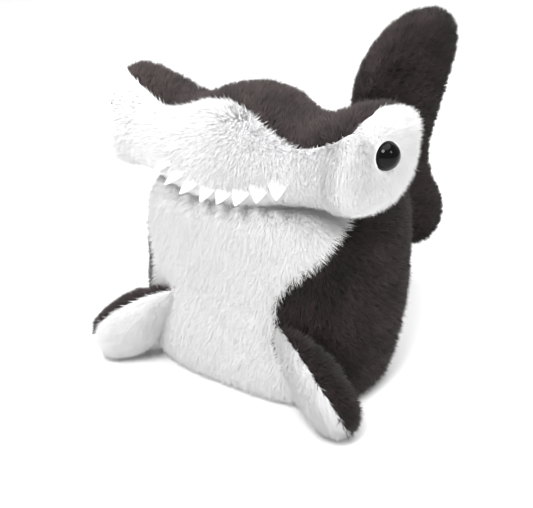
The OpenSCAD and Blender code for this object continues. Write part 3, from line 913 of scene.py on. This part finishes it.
TAIL_REACH, TAIL_MIDDLE_Z = 5, 65
TAIL_BEND = ("torso", "tail", *(
    (0, (TAIL_HINGE_Y + k * TAIL_REACH) * MM, TAIL_MIDDLE_Z * MM) for k in (-1, 1)))
for side, grid, seed in (("left", left_tail_grid, 41), ("right", right_tail_grid, 42)):
    plush(f"{side}_tail", grid, "tail", False, 44000, (0, 0.3, 1), seed, [f"{side}_tail_panel"], out_of_body,
          TAIL_BEND, part=(0.4, 0.4, 0.3, 0.5))
for side, grid, seed in (("left", left_dorsal_grid, 43), ("right", right_dorsal_grid, 44)):
    plush(f"{side}_dorsal", grid, "torso", False, 5000, (0, 0.5, 0.6), seed, [f"{side}_dorsal_panel"],
          out_of_body, length=3.4)

# ---- eyes and teeth ----


def lathe(profile, count):
    """A profile of radius and height carried round the Z axis, with its poles drawn together."""
    turn = np.linspace(0, 2 * np.pi, count + 1)
    r, h = profile[:, 0, None], profile[:, 1, None]
    return np.stack([r * np.cos(turn), r * np.sin(turn), h + 0 * turn], -1)


EYE_DOME_H, EYE_SINK, EYE_RIM, SHANK_D, SHANK_L = 5.6, 1.2, 0.8, 4, 11


def eye_profile():
    """A shank, a thin flange with a rounded rim, and a dome that is a shallow cap of a ball."""
    r = EYE_D / 2
    ball = (r * r + EYE_DOME_H**2) / (2 * EYE_DOME_H)
    over = np.linspace(math.asin(r / ball), 0, 18)
    dome = np.stack([ball * np.sin(over), EYE_DOME_H - ball + ball * np.cos(over)], -1) + (0, EYE_RIM)
    stem = np.array([(0, -SHANK_L), (SHANK_D / 2, -SHANK_L), (SHANK_D / 2, -0.3), (SHANK_D / 2 + 0.3, 0),
                     (r - 0.3, 0), (r - 0.05, 0.15), (r, 0.4)])
    return np.concatenate([stem, dome])


def cut(points, mesh_name, material):
    """A grid that closes on itself made a merged piece."""
    faces = grid_faces(*points.shape[:2])
    return merged(add_piece(mesh_name, points, faces.tolist(), material))


for side, flip in (("left", LEFT), ("right", RIGHT)):
    eye = (lathe(eye_profile(), 56) + (0, 0, -EYE_SINK)) @ EYE_FRAME.T + EYE_SEAT
    piece = cut(eye * flip, f"{side}_eye_button", eye_plastic)
    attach(piece, "torso")
    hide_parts(f"{side}_eye")

MOUTH_MID_X, MOUTH_HALF_W, MOUTH_ANGLE, MOUTH_END_DROP = 4, 28, 26, -15
TOOTH_COUNT, TOOTH_TILT, TOOTH_YAW = 8, 46, 0.95
TOOTH_W, TOOTH_L, TOOTH_ROOT, TOOTH_T = 9.2, 8.6, 6, 2.6


def tooth_grid():
    """A folded felt tooth: rings along its length whose width runs from full to a blunt tip along a
    rounded triangle, and whose edges are thinner than its middle."""
    root = np.linspace(-TOOTH_ROOT, 0, 7)[:-1]
    along = np.concatenate([root, TOOTH_L * (1 - (1 - np.linspace(0, 1, 18)) ** 1.4)])
    share = np.clip(along / TOOTH_L, 0, 1)
    half_w = TOOTH_W / 2 * ((1 - share) ** 0.86 * 0.94 + 0.06 * np.sqrt(np.clip(1 - share**6, 0, 1)))
    half_t = TOOTH_T / 2 * (1 - 0.45 * share) * np.sqrt(np.clip(1 - share**8, 0, 1))
    half_w[-1] = half_t[-1] = 0
    turn = np.linspace(0, 2 * np.pi, 29)
    x = half_w[:, None] * bend(np.cos(turn), 0.9)
    y = half_t[:, None] * bend(np.sin(turn), 0.8)
    cup = 0.02 * along[:, None] ** 2 * np.sign(along[:, None])
    grid = np.stack([x, y - cup, -along[:, None] + 0 * turn], -1)
    return np.concatenate([np.broadcast_to(grid[:1].mean(1, keepdims=True), grid[:1].shape), grid])


for k in range(TOOTH_COUNT):
    u = 2 * k / (TOOTH_COUNT - 1) - 1
    x = MOUTH_MID_X + MOUTH_HALF_W * u
    station = np.interp(x / HAMMER_HALF_SPAN, HEAD_ROWS[:, 0], np.arange(len(HEAD_ROWS)))
    seat = head_skin(station, np.float64(MOUTH_ANGLE + MOUTH_END_DROP * u * u))
    rng = np.random.default_rng(60 + k)
    aim = turned(2, TOOTH_YAW * x + rng.normal(0, 3)) @ turned(0, -TOOTH_TILT + rng.normal(0, 3))
    piece = cut(tooth_grid() * (1, 1, rng.uniform(0.95, 1.08)) @ aim.T + seat, f"felt_tooth_{k + 1}", felt)
    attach(piece, "torso")
    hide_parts(f"tooth_{k + 1}")

# ---- what is inside and below ----

# The base panel takes the white pile material, so its colour is the root colour, painted shade.
for node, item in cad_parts.items():
    for word, material in (("stuffing", fibre), ("pellet_bag", calico), ("pellet_fill", pellets),
                           ("washer", washer_plastic), ("base_panel", white_pile)):
        if word in node:
            item.data.materials.clear()
            item.data.materials.append(material)

# ---- floor, light and camera ----

FLOOR_HALF, FLOOR_Z = 6, -0.0004
floor_mesh = bpy.data.meshes.new("floor")
corners = [(x * FLOOR_HALF, y * FLOOR_HALF, FLOOR_Z) for x, y in ((-1, -1), (1, -1), (1, 1), (-1, 1))]
floor_mesh.from_pydata(corners, [], [(0, 1, 2, 3)])
floor = bpy.data.objects.new("floor", floor_mesh)
bpy.context.scene.collection.objects.link(floor)
paper, _, paper_shader = new_material("floor paper")
paper_shader.inputs["Base Color"].default_value = (0.9, 0.9, 0.9, 1)
paper_shader.inputs["Roughness"].default_value = 0.9
floor_mesh.materials.append(paper)

TARGET = np.array((-12.3, -9.8, 46.0)) * MM


def aimed(ob, azimuth, elevation, distance):
    """Puts a camera or light round the target, facing it."""
    away = np.array((sind(azimuth) * cosd(elevation), -cosd(azimuth) * cosd(elevation), sind(elevation)))
    right = np.array((cosd(azimuth), sind(azimuth), 0))
    up = np.cross(away, right)
    m = np.eye(4)
    m[:3, :3] = np.stack([right, up, away], 1)
    m[:3, 3] = TARGET + away * distance
    ob.matrix_world = mathutils.Matrix(m.tolist())


CAMERA_AZIMUTH, CAMERA_ELEVATION, CAMERA_DISTANCE = 35.5, 23.5, 0.46
camera_data = bpy.data.cameras.new("camera")
camera_data.sensor_width = 36
camera_data.lens = 64.17
camera_data.clip_start = 0.01
camera = bpy.data.objects.new("camera", camera_data)
bpy.context.scene.collection.objects.link(camera)
aimed(camera, CAMERA_AZIMUTH, CAMERA_ELEVATION, CAMERA_DISTANCE)
bpy.context.scene.camera = camera


def softbox(name, azimuth, elevation, distance, size, watts):
    """A round area light, aimed at the target."""
    data = bpy.data.lights.new(name, "AREA")
    data.shape = "DISK"
    data.size = size
    data.energy = watts
    ob = bpy.data.objects.new(name, data)
    bpy.context.scene.collection.objects.link(ob)
    aimed(ob, azimuth, elevation, distance)


softbox("key", 12, 48, 1.1, 0.4, 10)
softbox("overhead", 0, 88, 1.2, 1.5, 20)
softbox("fill", 82, 36, 1.3, 0.3, 3)
softbox("back", 190, 40, 1.2, 0.8, 4)

world = bpy.data.worlds.new("studio")
bpy.context.scene.world = world
world.use_nodes = True
world.node_tree.nodes["Background"].inputs["Color"].default_value = (1, 1, 1, 1)
world.node_tree.nodes["Background"].inputs["Strength"].default_value = 0.5
bpy.context.scene.view_settings.view_transform = "Standard"
